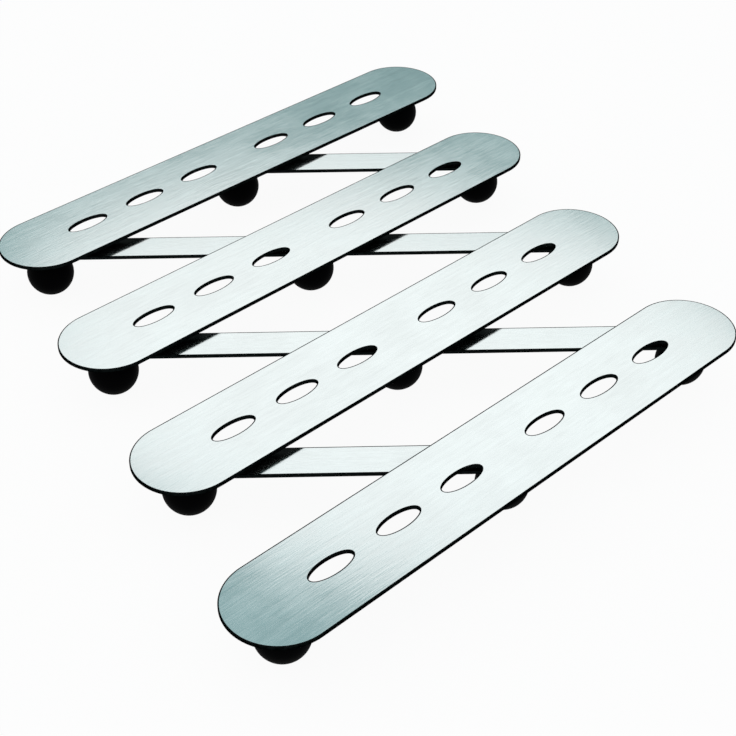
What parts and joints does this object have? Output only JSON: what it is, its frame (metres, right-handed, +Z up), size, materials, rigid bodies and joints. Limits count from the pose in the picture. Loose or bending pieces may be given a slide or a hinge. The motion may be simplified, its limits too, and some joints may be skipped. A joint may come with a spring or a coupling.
{
  "type": "expanding trivet",
  "caption": "Expanding trivet: slotted round-ended steel bars pivot on narrow cross bars above black ball feet, so the lattice swings from a closed slab to an open grid.",
  "frame": {"origin": "on the table, under the middle of the trivet as it stands open in the picture", "axes": "+Z up from the table; +Y along the top bars, from the ends at the left of the picture to those at its right; +X across the bars, from the rear bar to the front one"},
  "size_m": [0.2142, 0.2524, 0.0201],
  "materials": {
    "top_bar_steel": "brushed along the bar, satin",
    "cross_bar_steel": "fine brushed, satin",
    "stud_steel": "turned",
    "black_rubber": "matt, moulded",
    "black_nylon": "matt"
  },
  "bodies": {
    "top_bar_1_set": {"top_bar_1": "top_bar_steel", "stud_1_left": "stud_steel", "foot_1_left": "black_rubber", "lower_washer_1_left": "black_nylon", "upper_washer_1_left": "black_nylon", "stud_1_middle": "stud_steel", "foot_1_middle": "black_rubber", "lower_washer_1_middle": "black_nylon", "upper_washer_1_middle": "black_nylon", "stud_1_right": "stud_steel", "foot_1_right": "black_rubber", "lower_washer_1_right": "black_nylon", "upper_washer_1_right": "black_nylon", "spacer_1_right": "stud_steel"},
    "top_bar_2_set": {"top_bar_2": "top_bar_steel", "stud_2_left": "stud_steel", "foot_2_left": "black_rubber", "lower_washer_2_left": "black_nylon", "upper_washer_2_left": "black_nylon", "stud_2_middle": "stud_steel", "foot_2_middle": "black_rubber", "lower_washer_2_middle": "black_nylon", "upper_washer_2_middle": "black_nylon", "stud_2_right": "stud_steel", "foot_2_right": "black_rubber", "lower_washer_2_right": "black_nylon", "upper_washer_2_right": "black_nylon"},
    "top_bar_3_set": {"top_bar_3": "top_bar_steel", "stud_3_left": "stud_steel", "foot_3_left": "black_rubber", "lower_washer_3_left": "black_nylon", "upper_washer_3_left": "black_nylon", "stud_3_middle": "stud_steel", "foot_3_middle": "black_rubber", "lower_washer_3_middle": "black_nylon", "upper_washer_3_middle": "black_nylon", "stud_3_right": "stud_steel", "foot_3_right": "black_rubber", "lower_washer_3_right": "black_nylon", "upper_washer_3_right": "black_nylon"},
    "top_bar_4_set": {"top_bar_4": "top_bar_steel", "stud_4_left": "stud_steel", "foot_4_left": "black_rubber", "lower_washer_4_left": "black_nylon", "upper_washer_4_left": "black_nylon", "spacer_4_left": "stud_steel", "stud_4_middle": "stud_steel", "foot_4_middle": "black_rubber", "lower_washer_4_middle": "black_nylon", "upper_washer_4_middle": "black_nylon", "stud_4_right": "stud_steel", "foot_4_right": "black_rubber", "lower_washer_4_right": "black_nylon", "upper_washer_4_right": "black_nylon"},
    "long_cross_bar_1": {"long_cross_bar_1": "cross_bar_steel"},
    "short_cross_bar_1": {"short_cross_bar_1": "cross_bar_steel"},
    "long_cross_bar_2": {"long_cross_bar_2": "cross_bar_steel"},
    "short_cross_bar_2": {"short_cross_bar_2": "cross_bar_steel"}
  },
  "joints": [
    {"name": "opening", "type": "hinge", "parent": "top_bar_1_set", "child": "long_cross_bar_1", "pos_m": [-0.0911, -0.05777, 0.01663], "axis": [0, 0, -1], "range_deg": [-21.2, 116.4]},
    {"name": "bar_2_pivot", "type": "hinge", "parent": "long_cross_bar_1", "child": "top_bar_2_set", "pos_m": [-0.03037, 0.00874, 0.01663], "axis": [0, 0, -1], "range_deg": [-116.4, 21.2]},
    {"name": "bar_3_pivot", "type": "hinge", "parent": "long_cross_bar_1", "child": "top_bar_3_set", "pos_m": [0.03037, 0.07526, 0.01663], "axis": [0, 0, -1], "range_deg": [-116.4, 21.2]},
    {"name": "long_bar_2_pivot", "type": "hinge", "parent": "top_bar_2_set", "child": "long_cross_bar_2", "pos_m": [-0.03037, -0.07526, 0.01663], "axis": [0, 0, -1], "range_deg": [-21.2, 116.4]},
    {"name": "bar_4_pivot", "type": "hinge", "parent": "long_cross_bar_2", "child": "top_bar_4_set", "pos_m": [0.0911, 0.05777, 0.01663], "axis": [0, 0, -1], "range_deg": [-116.4, 21.2]},
    {"name": "short_bar_1_pivot", "type": "hinge", "parent": "top_bar_1_set", "child": "short_cross_bar_1", "pos_m": [-0.0911, 0.02623, 0.01663], "axis": [0, 0, -1], "range_deg": [-21.2, 116.4]},
    {"name": "short_bar_2_pivot", "type": "hinge", "parent": "top_bar_3_set", "child": "short_cross_bar_2", "pos_m": [0.03037, -0.09274, 0.01663], "axis": [0, 0, -1], "range_deg": [-21.2, 116.4]}
  ],
  "couplings": [
    {"joint": "bar_2_pivot", "follows": "opening", "ratio": -1},
    {"joint": "bar_3_pivot", "follows": "opening", "ratio": -1},
    {"joint": "long_bar_2_pivot", "follows": "opening", "ratio": 1},
    {"joint": "bar_4_pivot", "follows": "opening", "ratio": -1},
    {"joint": "short_bar_1_pivot", "follows": "opening", "ratio": 1},
    {"joint": "short_bar_2_pivot", "follows": "opening", "ratio": 1}
  ]
}
